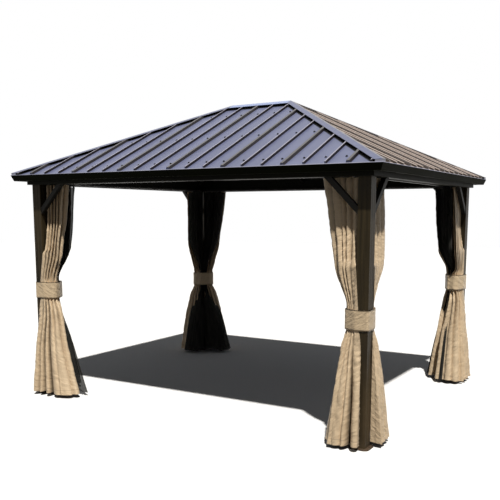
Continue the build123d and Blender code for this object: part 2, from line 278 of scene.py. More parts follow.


# Coated sheet: broad soft clouds, a fine mottle and water marks down the slope, between colours that are
# painted
# light: a painted sky reflection on the long slopes and a paler painted sheen on the ends. The height over
# the sheet is z - eave - rise times the distance in from the eave. By it the crests get a painted highlight
# on the narrow ribs and painted shade on the wide ones, and the ribs' flanks, which face along the eave, get
# painted shade that is lighter near the top of the narrow ribs and turns to painted sunlight there on the
# ends. The strips of sheet that lie under the hip and ridge caps get painted shade, nearly black.
def ribbedSheet(name, look, along):
    finish, tree, shader = newFinish(name, look["roughness"], roof["sheetSpecular"])
    coordinates = tree.nodes.new("ShaderNodeTexCoord").outputs
    place = coordinates["Object"]
    pitch, run, otherRun = ((roof[k] for k in ("frontPitch", "frontRun", "endRun")) if along == 0 else
                            (roof[k] for k in ("endPitch", "endRun", "frontRun")))
    cloud = stretchedNoise(tree, place, (1.6, 1.6, 1.6))
    mottle = stretchedNoise(tree, place, (26, 26, 26), 5, 0.7)
    marks = stretchedNoise(tree, place, [9 if k == along else 0.8 for k in range(3)])
    total = mathNode(tree, "ADD", mathNode(tree, "ADD", cloud, mottle), marks)
    total = scaledRange(tree, total, 0, 1, 0.9, 2.1)
    colour = colourRamp(tree, total, (0.1, look["dark"]), (0.9, look["light"]))

    spot = splitAxes(tree, place)
    size = [mathNode(tree, "ABSOLUTE", spot[k]) for k in (0, 1)]
    depth = mathNode(tree, "SUBTRACT", run, size[1 - along])
    sheetTop = mathNode(tree, "MULTIPLY_ADD", depth, roof["rise"], roof["eaveHeight"])
    over = mathNode(tree, "SUBTRACT", spot[2], sheetTop)
    # Painted highlight on the narrow crests, painted shade on the wide crests.
    crest = scaledRange(tree, over, 0, 1, roof["ribTop"] - 0.003, roof["ribTop"])
    fromWide = mathNode(tree, "PINGPONG", spot[along], 3 * pitch / 2)
    wide = scaledRange(tree, fromWide, 1, 0, roof["wideHalf"], roof["wideHalf"] + 0.002)
    notWide = mathNode(tree, "SUBTRACT", 1.0, wide)
    colour = mixColours(tree, mathNode(tree, "MULTIPLY", crest, wide), colour, look["wideCrestShade"])
    colour = mixColours(tree, mathNode(tree, "MULTIPLY", crest, notWide), colour, look["narrowCrestHighlight"])

    # Painted shade on the flanks, lighter near the top of the narrow ribs; on the ends that top is painted
    # sunlight.
    steep = mathNode(tree, "ABSOLUTE", splitAxes(tree, coordinates["Normal"])[along])
    upper = mathNode(tree, "MULTIPLY", scaledRange(tree, over, 0, 1, *roof["flankSplit"]), notWide)
    side = mixColours(tree, upper, look["flankShade"], look["flankTopShading"])
    colour = mixColours(tree, scaledRange(tree, steep, 0, 1, 0.3, 0.7), colour, side)

    # Painted shade, nearly black, on the sheet under the hip and ridge caps.
    fromHip = mathNode(tree, "SUBTRACT", mathNode(tree, "SUBTRACT", otherRun, size[along]), depth)
    fromRidge = mathNode(tree, "SUBTRACT", roof["frontRun"], depth)
    nearest = mathNode(tree, "MINIMUM", fromHip, fromRidge)
    underCapShade = scaledRange(tree, nearest, 1, 0, roof["capShadeReach"] - 0.002, roof["capShadeReach"] + 0.004)
    underCapShade = mathNode(tree, "MULTIPLY", underCapShade, mathNode(tree, "SUBTRACT", 1.0, crest))
    colour = mixColours(tree, underCapShade, colour, (0.006, 0.006, 0.006))
    tree.links.new(colour, shader.inputs["Base Color"])
    tree.links.new(scaledRange(tree, mottle, look["roughness"] - 0.06, look["roughness"] + 0.08),
                   shader.inputs["Roughness"])
    waves = addBump(tree, shader, stretchedNoise(tree, place, (5, 5, 5), 2), 0.35, 0.002)
    addBump(tree, shader, mottle, 0.08, 0.0006, waves)
    return finish


# Cap sheet: the same coating in two painted-light copies, a bluer painted sky reflection where it faces the
# front or back and browner painted shading where it faces the ends.
def capSheet(name, facingFront, facingEnd):
    finish, tree, shader = newFinish(name, 0.32, roof["sheetSpecular"])
    coordinates = tree.nodes.new("ShaderNodeTexCoord").outputs
    mottle = stretchedNoise(tree, coordinates["Object"], (22, 22, 22), 4, 0.6)
    sideways = mathNode(tree, "ABSOLUTE", splitAxes(tree, coordinates["Normal"])[0])
    colour = mixColours(tree, scaledRange(tree, sideways, 0, 1, 0.15, 0.3), facingFront, facingEnd)
    shade = tree.nodes.new("ShaderNodeHueSaturation")
    tree.links.new(scaledRange(tree, mottle, 0.82, 1.12, 0.3, 0.7), shade.inputs["Value"])
    tree.links.new(colour, shade.inputs["Color"])
    tree.links.new(shade.outputs[0], shader.inputs["Base Color"])
    addBump(tree, shader, mottle, 0.08, 0.0006)
    return finish


paints = {
    "frame": powderCoat("framePaint", (0.014, 0.011, 0.006), (0.056, 0.041, 0.021), 0.42, (55, 55, 1.6),
                        {"upTo": 1.0, "colour": (0.17, 0.122, 0.072)}),
    "beam": powderCoat("beamPaint", (0.003, 0.003, 0.002), (0.010, 0.010, 0.006), 0.5, (2, 2, 60),
                       specular=0.04),
    "trim": powderCoat("trimPaint", (0.0020, 0.0023, 0.0012), (0.007, 0.008, 0.003), 0.6, (2, 2, 60),
                       specular=0.015),
    "plate": powderCoat("platePaint", (0.035, 0.022, 0.014), (0.10, 0.068, 0.045), 0.5, (25, 25, 25),
                        {"upTo": 0.02, "colour": (0.13, 0.10, 0.07)}),
    "rafter": powderCoat("rafterPaint", (0.006, 0.006, 0.005), (0.018, 0.016, 0.013), 0.5, (3, 3, 3)),
    "rail": powderCoat("railPaint", (0.008, 0.007, 0.006), (0.022, 0.019, 0.016), 0.35, (4, 4, 4)),
    # The two slope finishes are copies of one dark brown coating: the long slopes carry a painted blue sky
    # reflection, the ends a paler mauve painted sheen.
    "longSlope": ribbedSheet("slopeSheet", {
        "dark": (0.100, 0.112, 0.192), "light": (0.152, 0.168, 0.280), "narrowCrestHighlight": (0.34, 0.33, 0.40),
        "wideCrestShade": (0.100, 0.094, 0.098), "flankShade": (0.012, 0.009, 0.012),
        "flankTopShading": (0.020, 0.015, 0.018), "roughness": 0.36}, 0),
    "endSlope": ribbedSheet("endSlopeSheet", {
        "dark": (0.330, 0.270, 0.250), "light": (0.470, 0.400, 0.370), "narrowCrestHighlight": (0.56, 0.50, 0.46),
        "wideCrestShade": (0.060, 0.050, 0.044), "flankShade": (0.040, 0.029, 0.023),
        "flankTopShading": (0.60, 0.51, 0.46), "roughness": 0.36}, 1),
    # The drip edge and cap ends are painted pale blue as a painted highlight along the eave and at the cap
    # ends.
    "dripEdge": powderCoat("dripEdgeHighlightPaint", (0.30, 0.31, 0.40), (0.42, 0.43, 0.52), 0.4, (3, 3, 3)),
    "screw": powderCoat("screwPaint", (0.006, 0.006, 0.007), (0.018, 0.018, 0.020), 0.4, (40, 40, 40)),
    "closure": powderCoat("closurePaint", (0.004, 0.004, 0.004), (0.008, 0.008, 0.008), 0.7, (40, 40, 40)),
    "hook": powderCoat("hookPaint", (0.05, 0.048, 0.045), (0.10, 0.095, 0.09), 0.4, (40, 40, 40)),
    # Cap colours are painted reflection: the ridge cap's front wing is paler and bluer as painted sky
    # reflection.
    "hipCap": capSheet("capSheet", (0.120, 0.134, 0.230), (0.125, 0.112, 0.125)),
    "ridgeCap": capSheet("ridgeSheet", (0.270, 0.335, 0.560), (0.200, 0.180, 0.200)),
}

paintOf = {
    "post_": "frame", "base_plate_": "plate", "beam_": "beam", "eave_trim_": "trim", "braces_": "rafter",
    "roof_slope_front": "longSlope", "roof_slope_back": "longSlope",
    "roof_slope_left": "endSlope", "roof_slope_right": "endSlope",
    "hip_cap_": "hipCap", "ridge_cap": "ridgeCap", "ridge_beam": "rafter", "rafters": "rafter",
    "purlins": "rafter", "curtain_rails": "rail",
}
for nodeName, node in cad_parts.items():
    for start, paint in paintOf.items():
        if nodeName.startswith(start):
            node.data.materials.clear()
            node.data.materials.append(paints[paint])
print("metal finished")


# shapes worked out as grids

# A mesh of quads between neighbouring points of a (rows, columns, 3) grid, closed along its rows or columns
# where asked, with a uv and, for each point, how deep its crease is, which sets the painted shade there.
def gridPiece(name, points, finish, uv=None, wrap=False, wrapRows=False, flip=False, crease=None):
    rows, columns = points.shape[:2]
    index = np.arange(rows * columns).reshape(rows, columns)
    if wrap:
        index = np.concatenate([index, index[:, :1]], axis=1)
    if wrapRows:
        index = np.concatenate([index, index[:1]], axis=0)
    quads = np.stack([index[:-1, :-1], index[:-1, 1:], index[1:, 1:], index[1:, :-1]], axis=-1)
    quads = quads.reshape(-1, 4)
    if flip:
        quads = quads[:, ::-1]
    return meshPiece(name, points.reshape(-1, 3), quads, finish, uv, crease=crease)


# A mesh from points and faces that all have the same number of corners.
def meshPiece(name, points, faces, finish, uv=None, smooth=True, crease=None):
    faces = np.ascontiguousarray(faces)
    count, corners = faces.shape
    mesh = bpy.data.meshes.new(name)
    mesh.vertices.add(len(points))
    mesh.vertices.foreach_set("co", np.asarray(points, np.float32).ravel())
    mesh.loops.add(count * corners)
    mesh.loops.foreach_set("vertex_index", faces.astype(np.int32).ravel())
    mesh.polygons.add(count)
    mesh.polygons.foreach_set("loop_start", np.arange(0, count * corners, corners, dtype=np.int32))
    mesh.update(calc_edges=True)
    mesh.polygons.foreach_set("use_smooth", np.full(count, smooth))
    if uv is not None:
        layer = mesh.uv_layers.new(name="clothUv")
        layer.data.foreach_set("uv", np.asarray(uv, np.float32).reshape(-1, 2)[faces.ravel()].ravel())
    if crease is not None:
        mesh.attributes.new("crease", "FLOAT", "POINT").data.foreach_set("value", np.float32(crease).ravel())
    mesh.validate()
    mesh.materials.append(finish)
    piece = bpy.data.objects.new(name, mesh)
    bpy.context.collection.objects.link(piece)
    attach(piece, "root")
    return piece


# A smooth line through values at the knots that never swings past them: a cubic between two knots, whose
# slope at a knot is the harmonic mean of the two steps beside it, or none where they differ in sign.
def smoothThrough(at, knots, values):
    knots, values = np.asarray(knots, float), np.asarray(values, float)
    more = (...,) + (None,) * (values.ndim - 1)
    steps = np.diff(values, axis=0) / np.diff(knots)[more]
    before, after = steps[:-1], steps[1:]
    same = before * after > 0
    middle = np.where(same, 2 * before * after / np.where(same, before + after, 1), 0)
    slopes = np.concatenate([steps[:1], middle, steps[-1:]])
    slot = np.clip(np.searchsorted(knots, at) - 1, 0, len(knots) - 2)
    width = knots[slot + 1] - knots[slot]
    part = np.clip((at - knots[slot]) / width, 0, 1)
    width, part = width[more], part[more]
    places = (2 * part**3 - 3 * part**2 + 1) * values[slot] + (3 * part**2 - 2 * part**3) * values[slot + 1]
    ways = (part**3 - 2 * part**2 + part) * slopes[slot] + (part**3 - part**2) * slopes[slot + 1]
    return places + ways * width


# Smooth noise from 0 to 1: random numbers on a grid of cells, blended with a cubic in both directions.
def softNoise(across, along, cells, seed):
    table = np.random.default_rng(seed).random((64, 64))

    def corner(i, j):
        return table[(x0 + i) % 64, (y0 + j) % 64]

    x, y = across * cells[0], along * cells[1]
    x0, y0 = np.floor(x).astype(int), np.floor(y).astype(int)
    fx, fy = x - x0, y - y0
    fx, fy = fx * fx * (3 - 2 * fx), fy * fy * (3 - 2 * fy)
    return ((corner(0, 0) * (1 - fx) + corner(1, 0) * fx) * (1 - fy)
            + (corner(0, 1) * (1 - fx) + corner(1, 1) * fx) * fy)


halfLong, halfWide = roof["endRun"], roof["frontRun"]
halfSides = {"front": halfLong, "right": halfWide, "back": halfLong, "left": halfWide}

# For each side of the roof: the middle of its eave, the way along it, and the way in from it.
sideWays = {
    "front": ((0, -halfWide), (1, 0), (0, 1)),
    "right": ((halfLong, 0), (0, 1), (-1, 0)),
    "back": ((0, halfWide), (-1, 0), (0, -1)),
    "left": ((-halfLong, 0), (0, -1), (1, 0)),
}


# A place on a side of the roof: along its eave from the middle, and in from the eave.
def sidePlace(side, along, depth, height):
    origin, alongWay, inWay = sideWays[side]
    return np.stack([origin[0] + along * alongWay[0] + depth * inWay[0],
                     origin[1] + along * alongWay[1] + depth * inWay[1],
                     np.broadcast_to(height, np.shape(along * depth))], axis=-1)


corners = {
    "front_right": {"x": 1, "y": -1, "tie": 0.967, "sides": (("front", 1), ("right", -1))},
    "back_right": {"x": 1, "y": 1, "tie": 1.036, "sides": (("right", 1), ("back", -1))},
    "back_left": {"x": -1, "y": 1, "tie": 0.921, "sides": (("back", 1), ("left", -1))},
    "front_left": {"x": -1, "y": -1, "tie": 1.011, "sides": (("left", 1), ("front", -1))},
}


# small parts of the roof

roofScrews = {
    "rows": (0.133, 0.675, 1.24),
    "besideNarrow": 0.052,
    "besideWide": 0.062,
    "fromHip": 0.10,
    "profile": [(0.0110, 0.0), (0.0110, 0.0015), (0.0070, 0.0022), (0.0066, 0.0075)],
    "steps": 8,
}


# A profile of (radius, height) turned round its axis and closed on top, as points and triangles.
def turnedShape(profile, steps):
    turn = np.arange(steps) * 2 * np.pi / steps
    rings = np.array(profile)
    shape = np.stack([rings[:, :1] * np.cos(turn), rings[:, :1] * np.sin(turn),
                      rings[:, 1:] + 0 * turn], axis=-1).reshape(-1, 3)
    shape = np.vstack([shape, [[0, 0, rings[-1, 1]]]])
    index = np.arange(len(rings) * steps).reshape(len(rings), steps)
    beside = np.roll(index, -1, axis=1)
    low, lowBeside, high, highBeside = index[:-1], beside[:-1], index[1:], beside[1:]
    top = np.full(steps, len(shape) - 1)
    triangles = ((low, lowBeside, highBeside), (low, highBeside, high), (index[-1], beside[-1], top))
    return shape, np.concatenate([np.stack(three, axis=-1).reshape(-1, 3) for three in triangles])


# The faces of one shape, counted on for each of its copies.
def copiedFaces(faces, pointCount, copies):
    return (faces[None] + (np.arange(copies) * pointCount)[:, None, None]).reshape(-1, faces.shape[1])


# Screws stand in rows across each slope, one to the left of each rib, square to the sheet.
def makeScrews(look):
    slope = math.atan(roof["rise"])
    shape, faces = turnedShape(look["profile"], look["steps"])
    for side, (origin, alongWay, inWay) in sideWays.items():
        pitch = roof["frontPitch"] if side in ("front", "back") else roof["endPitch"]
        ribs, rows = np.meshgrid(np.arange(-11, 12), look["rows"])
        beside = np.where(ribs % 3 == 0, look["besideWide"], look["besideNarrow"])
        along, depth = (ribs * pitch - beside).ravel(), rows.ravel()
        inside = np.abs(along) < halfSides[side] - depth - look["fromHip"]
        along, depth = along[inside], depth[inside]
        places = sidePlace(side, along, depth, roof["eaveHeight"] + depth * roof["rise"])
        across = np.array([*alongWay, 0.0])
        upwards = np.array([inWay[0] * math.cos(slope), inWay[1] * math.cos(slope), math.sin(slope)])
        points = places[:, None] + shape @ np.array([across, upwards, np.cross(across, upwards)])
        piece = meshPiece(f"roof_screws_{side}", points.reshape(-1, 3),
                          copiedFaces(faces, len(shape), len(places)), paints["screw"], smooth=False)


dripEdge = {"inset": 0.0045, "height": 2.0845, "radius": 0.0034, "steps": 8}


# The rolled edge of the sheets along the eaves: a round section carried round the four mitred corners.
def makeDripEdge(look):
    turn = np.arange(look["steps"]) * 2 * np.pi / look["steps"]
    out = look["radius"] * np.cos(turn) - look["inset"]
    height = look["height"] + look["radius"] * np.sin(turn)
    corner = np.array([(1, -1), (1, 1), (-1, 1), (-1, -1)])
    points = np.stack([corner[:, :1] * (halfLong + out), corner[:, 1:] * (halfWide + out),
                       height + 0 * corner[:, :1]], axis=-1)
    edge = gridPiece("drip_edge", points, paints["dripEdge"], wrap=True, wrapRows=True, flip=True)


capEnd = {"inset": 0.0052, "thick": 0.0015, "reach": 0.060, "low": 2.0872, "high": 2.1052}


# The folded end of each hip cap: an upright strip that runs round the corner of the eave under the cap.
def makeCapEnds(look):
    short = [half - look["reach"] for half in (halfLong, halfWide)]
    for name, corner in corners.items():
        section = []
        for inset, height in ((0, "low"), (0, "high"), (1, "high"), (1, "low")):
            full = [half - look["inset"] - inset * look["thick"] for half in (halfLong, halfWide)]
            section.append([(x * corner["x"], y * corner["y"], look[height])
                            for x, y in ((short[0], full[1]), full, (full[0], short[1]))])
        points = np.array(section)
        index = np.arange(12).reshape(4, 3)
        beside = np.roll(index, -1, axis=0)
        quads = np.stack([index[:, :-1], index[:, 1:], beside[:, 1:], beside[:, :-1]], axis=-1).reshape(-1, 4)
        quads = np.vstack([quads, index[::-1, 0], index[:, 2]])
        if corner["x"] * corner["y"] < 0:
            quads = quads[:, ::-1]
        end = meshPiece(f"cap_end_{name}", points.reshape(-1, 3), quads, paints["dripEdge"], smooth=False)


roofClosure = {"low": -0.002, "high": 0.0185, "half": 0.002, "margin": 0.010}


# Closure strips: thin upright plates along the ridge and each hip line, from the sheets to the caps.
def makeClosures(look):
    ridgeHalf = halfLong - halfWide
    ridgeHeight = roof["eaveHeight"] + roof["rise"] * halfWide
    peaks = {x: np.array([x * ridgeHalf, 0, ridgeHeight]) for x in (1, -1)}
    lines = [(peaks[1], peaks[-1])]
    for corner in corners.values():
        foot = np.array([corner["x"] * halfLong, corner["y"] * halfWide, roof["eaveHeight"]])
        top = peaks[corner["x"]]
        lines.append((foot + (top - foot) / np.linalg.norm(top - foot) * look["margin"], top))
    points = []
    for start, end in lines:
        across = np.cross(end - start, (0, 0, 1))
        across *= look["half"] / np.linalg.norm(across)
        for place in (start, end):
            for sideways, height in ((-1, "low"), (1, "low"), (1, "high"), (-1, "high")):
                points.append(place + across * sideways + (0, 0, look[height]))
    box = np.array([(0, 1, 2, 3), (7, 6, 5, 4), (0, 4, 5, 1), (1, 5, 6, 2), (2, 6, 7, 3), (3, 7, 4, 0)])
    strips = meshPiece("roof_closures", np.array(points), copiedFaces(box, 8, len(lines)), paints["closure"],
                       smooth=False)


makeScrews(roofScrews)
makeDripEdge(dripEdge)
makeCapEnds(capEnd)
makeClosures(roofClosure)
print("screws, drip edge, cap ends and closures made")


# cloth finishes

# Woven polyester in the cloth's own uv, in metres: slubs along both threads, soft colour clouds, darker hem
# lines at the given heights, each with its half width and strength, and painted shade that darkens the colour
# deep in the creases.
# Two crossed thread waves and a slanting crumple bend the light.
def wovenCloth(name, dark, light, hemLines, threads):
    finish, tree, shader = newFinish(name, 0.42, specular=0.36, sheen=0.04)
    place = tree.nodes.new("ShaderNodeUVMap")
    place.uv_map = "clothUv"
    uv = place.outputs[0]
    cloud = stretchedNoise(tree, uv, (2.5, 1.6, 1), 4)
    slubs = [stretchedNoise(tree, uv, scale) for scale in ((420, 14, 1), (14, 420, 1))]
    grain = mathNode(tree, "MULTIPLY_ADD", cloud, 1.3, mathNode(tree, "ADD", *slubs))
    colour = colourRamp(tree, scaledRange(tree, grain, 0, 1, 1.1, 2.2), (0.0, dark), (1.0, light))
    spot = splitAxes(tree, uv)
    for height, halfWidth, strength in hemLines:
        away = mathNode(tree, "ABSOLUTE", mathNode(tree, "SUBTRACT", spot[1], height))
        line = scaledRange(tree, away, strength, 0.0, halfWidth * 0.4, halfWidth)
        colour = mixColours(tree, line, colour, [c * 0.35 for c in dark])
    # Painted shade: the colour darkens towards a dark brown as the crease deepens.
    crease = tree.nodes.new("ShaderNodeAttribute")
    crease.attribute_name = "crease"
    shade = scaledRange(tree, crease.outputs["Fac"], 0.0, 0.88, 0.16, 0.62)
    colour = mixColours(tree, shade, colour, [c * 0.16 for c in dark])
    tree.links.new(colour, shader.inputs["Base Color"])
    waves = [mathNode(tree, "SINE", mathNode(tree, "MULTIPLY", spot[axis], 2 * math.pi / threads))
             for axis in (0, 1)]
    weave = addBump(tree, shader, mathNode(tree, "MULTIPLY", *waves), 0.25, 0.0004)
    turned = tree.nodes.new("ShaderNodeMapping")
    turned.inputs["Rotation"].default_value = (0, 0, math.radians(32))
    tree.links.new(uv, turned.inputs["Vector"])
    addBump(tree, shader, stretchedNoise(tree, turned.outputs[0], (11, 34, 1), 4), 0.7, 0.014, weave)
    return finish


curtainCloth = wovenCloth("curtainCloth", (0.54, 0.400, 0.250), (0.88, 0.695, 0.475),
                          [(0.045, 0.0022, 0.55), (0.0, 0.004, 0.35)], 0.0012)
tieCloth = wovenCloth("tieCloth", (0.62, 0.475, 0.305), (0.86, 0.675, 0.450),
                      [(0.008, 0.0018, 0.5), (0.148, 0.0018, 0.5)], 0.0014)


# Fine black net, partly see-through, with a cloudy thread colour and a paler hem.
def netMesh(name):
    finish, tree, shader = newFinish(name, 0.8, specular=0.05, sheen=0.02, alpha=0.93)
    place = tree.nodes.new("ShaderNodeUVMap")
    place.uv_map = "clothUv"
    uv = place.outputs[0]
    colour = colourRamp(tree, stretchedNoise(tree, uv, (9, 2, 1), 4),
                        (0.3, (0.018, 0.018, 0.016)), (0.75, (0.070, 0.069, 0.062)))
    hem = scaledRange(tree, splitAxes(tree, uv)[1], 0.75, 0.0, 0.03, 0.045)
    colour = mixColours(tree, hem, colour, (0.055, 0.052, 0.048))
    tree.links.new(colour, shader.inputs["Base Color"])
    addBump(tree, shader, stretchedNoise(tree, uv, (300, 300, 1), 2), 0.3, 0.001)
    return finish


netCloth = netMesh("netCloth")
print("cloth finishes made")


# gathered curtains and nets

# Each bunch in mm: how far it reaches along its side at the hem, the band, 1.42 m, 1.69 m and the rail; how
# far it stands out; how far it laps over the post below the band and above it; where its edge turns back to,
# and where its inner layer hangs. The net's two depths at the hem, whether it wraps the bunch's end, and its
# share of the reach above the band. Then the creases, as shares of the outer line at the hem, the band and
# the top, and how deep each one cuts there.
usualBunch = {
    "out": 0, "lapUp": 0, "back": 94, "netHem": (102, 138), "netWraps": False, "netUp": 1,
    "hemDeep": (0.6, 0.4, 0.6, 0.4, 0.6, 0.5, 0.6), "bandDeep": (0.5, 0.5, 0.5, 0.5, 0.5, 0.5, 0.5),
    "topDeep": (0.7, 0.6, 0.8, 0.5, 0.6, 0.7, 0.6),
}
bunches = {
    ("front_right", "front"): {
        "reach": (240, 98, 222, 266, 318), "lap": 75, "lapUp": 24, "turn": -118, "seed": 3,
        "hem": (0.175, 0.27, 0.36, 0.45, 0.6, 0.74, 0.88),
        "hemDeep": (0.85, 0.1, 0.03, 0.16, 0.4, 0.6, 0.6),
        "band": (0.2, 0.28, 0.34, 0.44, 0.6, 0.74, 0.88),
        "bandDeep": (0.35, 0.7, 0.35, 0.6, 0.5, 0.5, 0.5),
        "top": (0.13, 0.225, 0.27, 0.425, 0.6, 0.74, 0.88),
        "topDeep": (0.4, 0.95, 0.4, 0.9, 0.6, 0.6, 0.6)},
    ("front_right", "right"): {
        "reach": (275, 128, 300, 328, 342), "out": 22, "lap": 15, "turn": -58, "seed": 5,
        "hem": (0.08, 0.17, 0.26, 0.36, 0.52, 0.7, 0.86),
        "hemDeep": (0.25, 0.1, 0.12, 0.2, 0.5, 0.6, 0.6),
        "band": (0.06, 0.13, 0.25, 0.36, 0.52, 0.7, 0.86),
        "bandDeep": (0.6, 0.8, 0.4, 0.5, 0.5, 0.5, 0.5),
        "top": (0.12, 0.24, 0.36, 0.47, 0.6, 0.74, 0.88), "topDeep": (0.7, 0.8, 0.7, 0.6, 0.6, 0.6, 0.6)},
    ("back_right", "right"): {
        "reach": (275, 116, 255, 290, 300), "out": 22, "lap": 100, "turn": -110, "back": 146,
        "netHem": (58, 92), "netWraps": True, "seed": 7,
        "hem": (0.14, 0.24, 0.36, 0.44, 0.56, 0.7, 0.86),
        "hemDeep": (0.3, 0.1, 0.7, 0.15, 0.3, 0.2, 0.2),
        "band": (0.16, 0.24, 0.33, 0.43, 0.55, 0.7, 0.86),
        "bandDeep": (0.6, 0.5, 0.4, 0.5, 0.6, 0.5, 0.5),
        "top": (0.12, 0.26, 0.38, 0.47, 0.58, 0.72, 0.88),
        "topDeep": (0.6, 0.2, 0.5, 0.8, 0.6, 0.6, 0.6)},
    ("back_right", "back"): {
        "reach": (245, 86, 180, 214, 228), "lap": 30, "turn": -100, "back": 140, "netHem": (58, 92),
        "seed": 9,
        "hem": (0.12, 0.25, 0.38, 0.5, 0.62, 0.75, 0.88),
        "hemDeep": (0.9, 0.9, 0.9, 0.3, 0.15, 0.1, 0.15),
        "band": (0.12, 0.25, 0.38, 0.5, 0.62, 0.75, 0.88),
        "bandDeep": (0.8, 0.8, 0.8, 0.6, 0.4, 0.3, 0.3),
        "top": (0.13, 0.24, 0.37, 0.49, 0.63, 0.74, 0.88)},
    ("back_left", "back"): {
        "reach": (385, 134, 250, 310, 360), "lap": 40, "turn": -100, "netWraps": True, "seed": 11,
        "hem": (0.1, 0.21, 0.34, 0.47, 0.58, 0.72, 0.86),
        "band": (0.12, 0.24, 0.36, 0.48, 0.6, 0.74, 0.88),
        "top": (0.11, 0.25, 0.35, 0.49, 0.61, 0.75, 0.87)},
    ("back_left", "left"): {
        "reach": (300, 92, 238, 246, 252), "lap": 30, "turn": -100, "netWraps": True, "seed": 13,
        "hem": (0.13, 0.24, 0.33, 0.46, 0.6, 0.73, 0.87),
        "band": (0.12, 0.24, 0.36, 0.48, 0.6, 0.74, 0.88),
        "top": (0.14, 0.23, 0.38, 0.5, 0.6, 0.72, 0.86)},
    ("front_left", "left"): {
        "reach": (275, 110, 240, 285, 300), "lap": 25, "turn": -58, "seed": 15,
        "hem": (0.09, 0.2, 0.3, 0.44, 0.58, 0.72, 0.86), "hemDeep": (0.5, 0.4, 0.6, 0.4, 0.6, 0.5, 0.6),
        "band": (0.1, 0.22, 0.34, 0.47, 0.6, 0.74, 0.88),
        "top": (0.12, 0.25, 0.36, 0.48, 0.61, 0.73, 0.87)},
    ("front_left", "front"): {
        "reach": (400, 98, 166, 214, 250), "lap": 100, "lapUp": 40, "turn": -112, "back": 44,
        "netHem": (62, 98), "netUp": 0.66, "seed": 17,
        "hem": (0.1, 0.175, 0.3, 0.43, 0.56, 0.72, 0.87),
        "hemDeep": (0.5, 0.9, 0.7, 0.12, 0.3, 0.6, 0.6),
        "band": (0.13, 0.22, 0.32, 0.42, 0.56, 0.72, 0.88),
        "bandDeep": (0.5, 0.7, 0.6, 0.4, 0.5, 0.5, 0.5),
        "top": (0.1, 0.2, 0.31, 0.4, 0.55, 0.71, 0.88), "topDeep": (0.75, 0.8, 0.8, 0.6, 0.5, 0.6, 0.6)},
}
bunches = {place: {**usualBunch, **own} for place, own in bunches.items()}

hangHeight = 2.0035
hung = []  # the places where each heading hangs from its hooks
postFace = -52  # mm from the post's middle to just outside its outer face
hemHeight = 0.03
postDepth = 0.183  # from the eave to the middle of the posts
postInside = 0.233  # from a corner of the roof to the inner face of its post
hiddenNet = 60  # a net that hangs nearer than this, in mm, is inside its curtain below the band


# The outer line of a bunch and the line its creases reach, in mm at each height, from the post outwards:
# along from the post's inner face, and in from its middle. Below the band and just above it the line starts
# over the post's outer face.
def curtainLines(tie, bunch):
    hem, band, middle, upper, top = bunch["reach"]
    out, lap, lapUp, turn, back = (bunch[k] for k in ("out", "lap", "lapUp", "turn", "back"))
    fall = hem - band
    low, below, under = band + 0.5 * fall, band + 0.22 * fall, band + 0.05 * fall
    neck = [(0.875 * band, -18), (band, 12), (0.893 * band, 57), (20, 57)]
    rows = [
        (hemHeight, [(9 - lap, turn), (5 - lap, -156), (4, -156), (0.7 * hem, -149), (hem, -40),
                     (0.88 * hem, back), (58, back)]),
        (0.50, [(9 - 0.9 * lap, 0.6 * turn - 22), (5 - 0.9 * lap, -105), (4, -105), (0.78 * low, -99),
                (low, -15), (0.87 * low, 0.7 * back + 15), (44, 0.7 * back + 15)]),
        (tie - 0.20, [(4 - 0.7 * lap, 0.3 * turn - 38), (2 - 0.7 * lap, -68), (3, -67),
                      (0.82 * below, -63), (below, 0), (0.88 * below, 61), (34, 61)]),
        (tie - 0.11, [(3 - 0.55 * lap, -55), (1 - 0.55 * lap, -58), (3, -57), (0.87 * under, -34),
                      (under, 9), (0.89 * under, 58), (24, 58)]),
        (tie - 0.078, [(2 - 0.4 * lap, postFace - 0.5), (1 - 0.4 * lap, postFace - 1), (2, postFace)] + neck),
        (tie - 0.030, [(2, postFace), (3, postFace), (4, postFace + 2)] + neck),
        (tie + 0.030, [(2, postFace), (3, postFace), (4, postFace + 2)] + neck),
        (tie + 0.078, [(2 - lapUp, postFace - 0.5), (1 - lapUp, postFace - 1), (2, postFace)] + neck),
        (tie + 0.14, [(2 - 0.8 * lapUp, postFace - 3), (1 - 0.8 * lapUp, postFace - 5), (3, postFace - 4),
                      (0.9 * (0.9 * band + 0.1 * middle), -17), (0.88 * band + 0.12 * middle, 16),
                      (0.9 * (0.9 * band + 0.1 * middle), 60), (26, 60)]),
        (1.36, [(3, postFace), (3, postFace - 1), (4, postFace), (0.92 * middle, -11 - out),
                (0.97 * middle, 42), (0.92 * middle, 88), (50, 88)]),
        (1.42, [(5, -40), (6, -42), (8, -40), (0.95 * middle, -10 - out), (middle, 44),
                (0.95 * middle, 89), (52, 89)]),
        (1.69, [(5, 0), (7, 0), (10, 0), (0.97 * upper, -out), (upper, 48), (0.97 * upper, 93), (56, 93)]),
        (hangHeight, [(5, 1), (7, 1), (10, 1), (0.974 * top, 1), (top, 48), (0.974 * top, 95), (58, 95)]),
    ]
    heights = [height for height, points in rows]
    outer = np.array([points for height, points in rows], float)
    if bunch["netWraps"] and bunch["netHem"][0] > hiddenNet:
        outer[:3, 4:6, 0] *= 0.94
    if bunch["netWraps"]:  # above the band the net covers the end, so the curtain is only its outer layer
        outer[8:, 4:, 1] = outer[8:, 3:4, 1] + np.array([12, 34, 44])
        outer[8:, 4:, 0] *= np.array([0.985, 0.90, 1.0])
    centre = (outer[:, 3:4, 1] + outer[:, 5:6, 1]) / 2
    core = np.stack([np.clip(outer[..., 0] * 0.62, 14, None), centre + 0 * outer[..., 0]], axis=-1)
    overPost = outer[:, :3, 1] < postFace + 3
    core[:, :3, 0] = np.where(overPost, outer[:, :3, 0], core[:, :3, 0])
    core[:, :3, 1] = np.where(overPost, np.maximum(outer[:, :3, 1], postFace), core[:, :3, 1])
    return heights, outer, core


